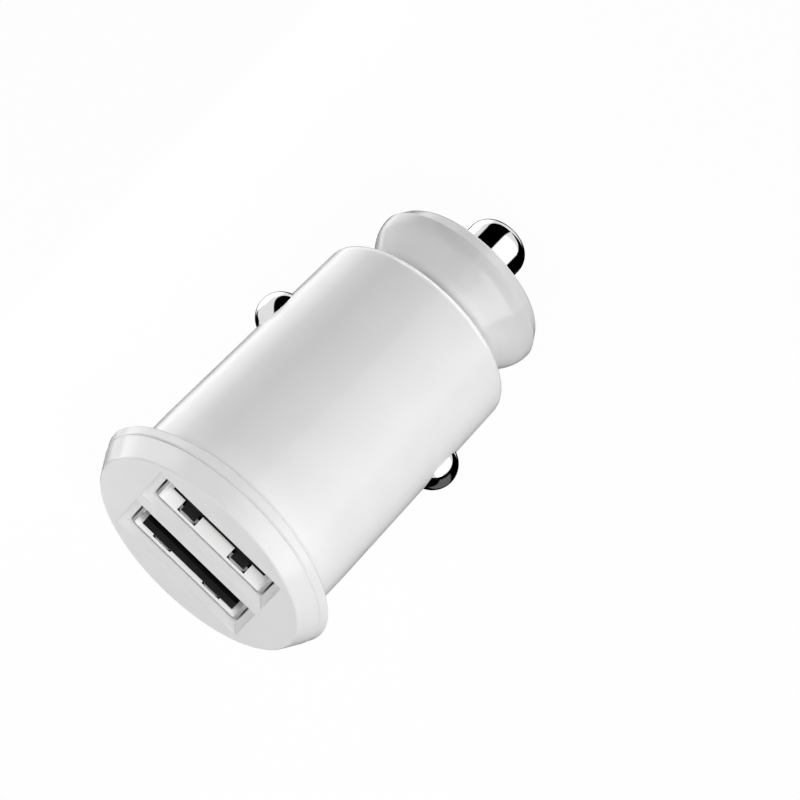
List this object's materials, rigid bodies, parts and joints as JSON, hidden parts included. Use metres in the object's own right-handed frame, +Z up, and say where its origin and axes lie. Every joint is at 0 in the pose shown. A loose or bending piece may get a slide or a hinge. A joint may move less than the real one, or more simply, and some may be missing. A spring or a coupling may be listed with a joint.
{
  "type": "car usb charger plug",
  "caption": "USB charger plug for a 12 V car outlet: flared front cap with stacked sockets, tapered barrel, sprung ball side contacts and a sprung centre pin.",
  "frame": {"origin": "on the plug's axis, at the flange's rear seat where the barrel starts", "axes": "+Y along the axis towards the nose and centre pin, so the sockets face -Y; X along the sockets' long sides and the side contacts; +Z up through the upper socket"},
  "size_m": [0.0254, 0.0438, 0.0254],
  "materials": {
    "white_plastic": "satin moulded plastic",
    "chrome_plate": "mirror polished",
    "spring_steel": "drawn wire",
    "brass_sheet": "stamped sheet",
    "board_green": "solder mask",
    "socket_steel": "bright plated sheet",
    "socket_black": "moulded, satin",
    "gold_plate": "gold plated",
    "chip_black": "matt moulded",
    "ferrite": "pressed ferrite",
    "copper_wire": "enamelled wire",
    "can_aluminium": "drawn can",
    "ceramic_tan": "fired ceramic"
  },
  "bodies": {
    "housing": {"front_cap": "white_plastic", "barrel": "white_plastic", "nose_collar": "white_plastic", "pin_spring": "spring_steel", "pin_spring_plate": "brass_sheet", "left_contact_spring": "spring_steel", "right_contact_spring": "spring_steel", "ground_clip": "brass_sheet", "circuit_board": "board_green", "upper_usb_shell": "socket_steel", "lower_usb_shell": "socket_steel", "upper_usb_insulator": "socket_black", "lower_usb_insulator": "socket_black", "upper_usb_contact_1": "gold_plate", "upper_usb_contact_2": "gold_plate", "upper_usb_contact_3": "gold_plate", "upper_usb_contact_4": "gold_plate", "lower_usb_contact_1": "gold_plate", "lower_usb_contact_2": "gold_plate", "lower_usb_contact_3": "gold_plate", "lower_usb_contact_4": "gold_plate", "buck_chip": "chip_black", "inductor_core": "ferrite", "inductor_winding": "copper_wire", "input_capacitor": "can_aluminium", "output_capacitor": "can_aluminium", "schottky_diode": "chip_black", "ceramic_capacitors": "ceramic_tan", "chip_resistors": "chip_black"},
    "pin": {"centre_pin": "chrome_plate"},
    "left_button": {"left_contact": "chrome_plate"},
    "right_button": {"right_contact": "chrome_plate"}
  },
  "joints": [
    {"name": "pin_slide", "type": "slide", "parent": "housing", "child": "pin", "axis": [0, -1, 0], "range_m": [0, 0.0025], "stiffness_N_per_m": 1500, "springref_m": -0.0006, "deforming": ["pin_spring"]},
    {"name": "left_contact_slide", "type": "slide", "parent": "housing", "child": "left_button", "axis": [1, 0, 0], "range_m": [0, 0.0013], "stiffness_N_per_m": 1500, "springref_m": -0.0004, "deforming": ["left_contact_spring"]},
    {"name": "right_contact_slide", "type": "slide", "parent": "housing", "child": "right_button", "axis": [-1, 0, 0], "range_m": [0, 0.0013], "stiffness_N_per_m": 1500, "springref_m": -0.0004, "deforming": ["right_contact_spring"]}
  ]
}
